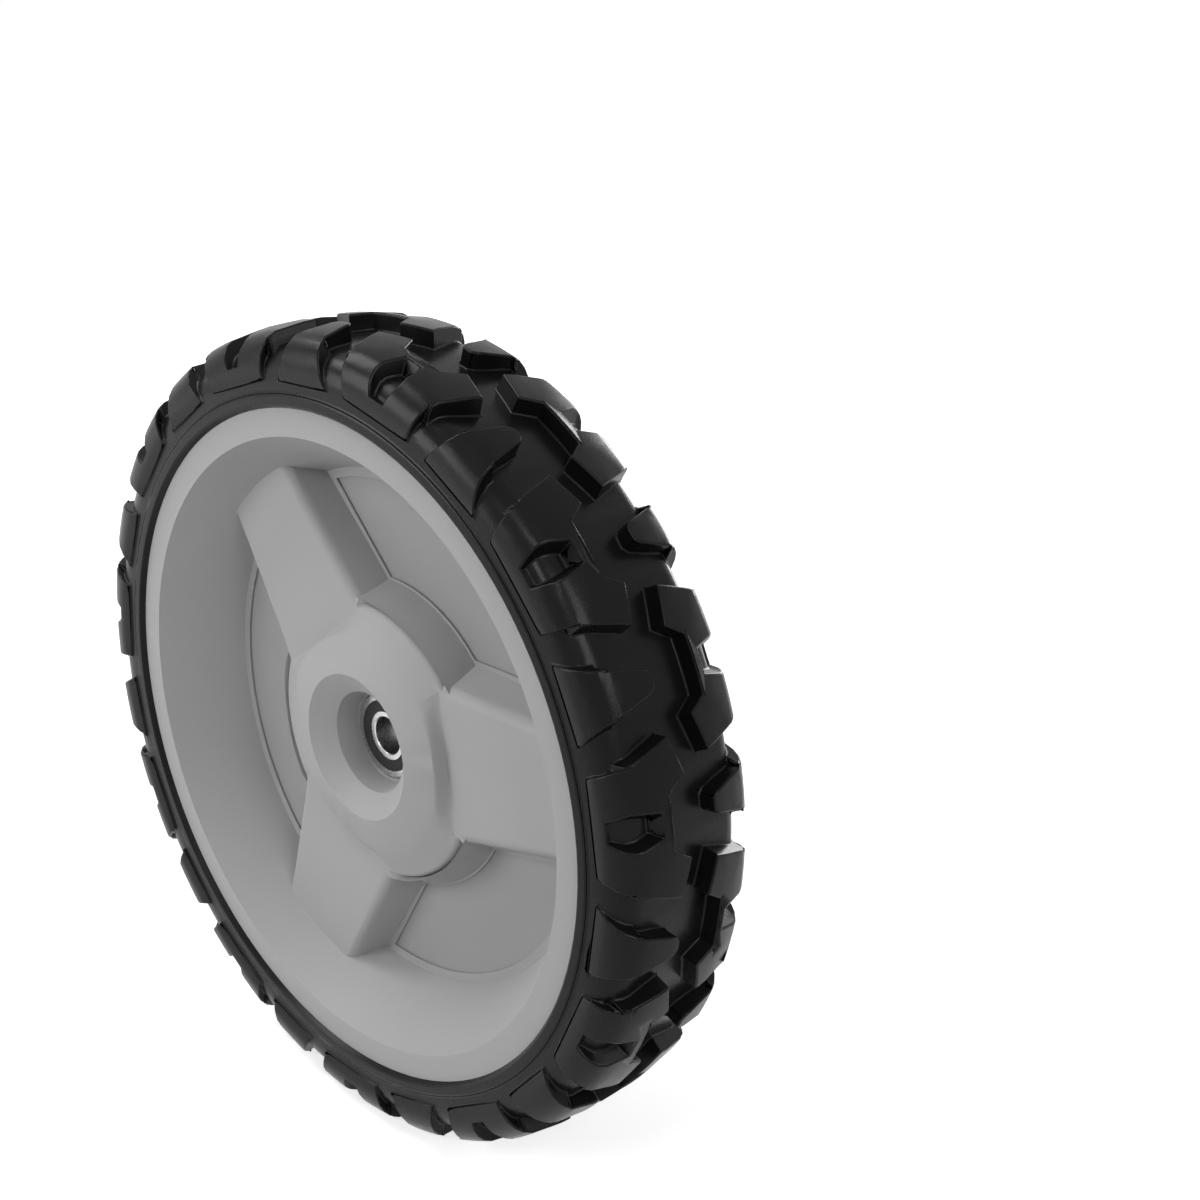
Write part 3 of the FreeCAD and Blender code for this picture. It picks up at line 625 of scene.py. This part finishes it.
class WHEEL_OT_stage(bpy.types.Operator):
    """Set the floor, the lights and the camera"""

    bl_idname = "wheel.stage"
    bl_label = "Stage"

    def execute(self, context):
        stage = context.scene.wheel_stage
        self.add_floor(stage)
        self.add_lights(context.scene, stage)
        self.add_camera(context.scene, stage)
        context.scene.view_settings.view_transform = "Standard"
        return {"FINISHED"}

    def add_floor(self, stage):
        """A wide pale floor that turns whiter away from the wheel."""
        shape = bmesh.new()
        bmesh.ops.create_grid(shape, x_segments=1, y_segments=1, size=FLOOR_HALF_WIDTH)
        bmesh.ops.translate(shape, verts=shape.verts, vec=(0, 0, FLOOR_HEIGHT))
        mesh = bpy.data.meshes.new("floor")
        shape.to_mesh(mesh)
        shape.free()
        floor = bpy.data.objects.new("floor", mesh)
        bpy.context.scene.collection.objects.link(floor)
        material, tree, shader = new_material("pale_floor")
        shader.inputs["Base Color"].default_value = (*stage.floor_colour, 1)
        shader.inputs["Roughness"].default_value = 0.9
        shader.inputs["Specular IOR Level"].default_value = 0.0
        place = tree.nodes.new("ShaderNodeTexCoord")
        distance = tree.nodes.new("ShaderNodeVectorMath")
        distance.operation = "LENGTH"
        tree.links.new(place.outputs["Object"], distance.inputs[0])
        glow = add_node(tree, "ShaderNodeMapRange", From_Min=GLOW_START, From_Max=stage.glow_reach,
                        To_Min=stage.near_glow, To_Max=stage.far_glow)
        tree.links.new(distance.outputs["Value"], glow.inputs["Value"])
        tree.links.new(glow.outputs["Result"], shader.inputs["Emission Color"])
        tree.links.new(sees_backdrop(tree), shader.inputs["Emission Strength"])
        floor.data.materials.append(material)

    def add_lights(self, scene, stage):
        """Soft boxes, a little even light, and a white backdrop seen directly and in reflections."""
        world = bpy.data.worlds.new("studio")
        scene.world = world
        world.use_nodes = True
        tree = world.node_tree
        even_light = tree.nodes["Background"]
        even_light.inputs["Color"].default_value = (1, 1, 1, 1)
        even_light.inputs["Strength"].default_value = stage.sky
        backdrop = add_node(tree, "ShaderNodeBackground", Color=(1, 1, 1, 1), Strength=1.0)
        choice = tree.nodes.new("ShaderNodeMixShader")
        tree.links.new(sees_backdrop(tree), choice.inputs[0])
        tree.links.new(even_light.outputs["Background"], choice.inputs[1])
        tree.links.new(backdrop.outputs["Background"], choice.inputs[2])
        tree.links.new(choice.outputs["Shader"], tree.nodes["World Output"].inputs["Surface"])
        for name, place, width, power in SOFT_BOXES:
            add_soft_box(name, place, width, power)

    def add_camera(self, scene, stage):
        """The camera at the photo's angle."""
        ahead = Vector((
            -math.sin(stage.azimuth) * math.cos(stage.elevation),
            math.cos(stage.azimuth) * math.cos(stage.elevation),
            -math.sin(stage.elevation),
        ))
        data = bpy.data.cameras.new("camera")
        data.sensor_width = SENSOR_WIDTH
        data.lens = stage.lens
        data.shift_x, data.shift_y = stage.shift
        data.clip_start = NEAREST_SEEN
        camera = bpy.data.objects.new("camera", data)
        turn = ahead.to_track_quat("-Z", "Y").to_matrix().to_4x4() @ Matrix.Rotation(stage.roll, 4, "Z")
        camera.matrix_world = Matrix.Translation(stage.eye) @ turn
        scene.collection.objects.link(camera)
        scene.camera = camera


class WHEEL_PT_panel(bpy.types.Panel):
    """Lists the wheel's pieces"""

    bl_idname = "WHEEL_PT_panel"
    bl_label = "Mower wheel"
    bl_space_type = "VIEW_3D"
    bl_region_type = "UI"
    bl_category = "Wheel"

    def draw(self, context):
        for operator in OPERATORS:
            self.layout.operator(operator.bl_idname)
        for settings in SETTINGS:
            group = getattr(context.scene, settings)
            for name in group.bl_rna.properties.keys():
                if name not in ("rna_type", "name"):
                    self.layout.prop(group, name)


SETTINGS = {
    "wheel_rubber": WheelRubber,
    "wheel_plastic": WheelPlastic,
    "wheel_hub": WheelHub,
    "wheel_steel": WheelSteel,
    "wheel_stage": WheelStage,
}
OPERATORS = (WHEEL_OT_tyre, WHEEL_OT_rim, WHEEL_OT_bearings, WHEEL_OT_screws, WHEEL_OT_stage)
CLASSES = (*SETTINGS.values(), *OPERATORS, WHEEL_PT_panel)


def register():
    """Make the settings, the operators and the panel known."""
    for item in CLASSES:
        bpy.utils.register_class(item)
    for name, group in SETTINGS.items():
        setattr(bpy.types.Scene, name, PointerProperty(type=group))


def unregister():
    """Take them away again, in reverse order."""
    for name in SETTINGS:
        delattr(bpy.types.Scene, name)
    for item in reversed(CLASSES):
        bpy.utils.unregister_class(item)


def main():
    """Build the whole scene."""
    register()
    bpy.ops.wheel.tyre()
    bpy.ops.wheel.rim()
    bpy.ops.wheel.bearings()
    bpy.ops.wheel.screws()
    bpy.ops.wheel.stage()


if __name__ == "__main__":
    main()
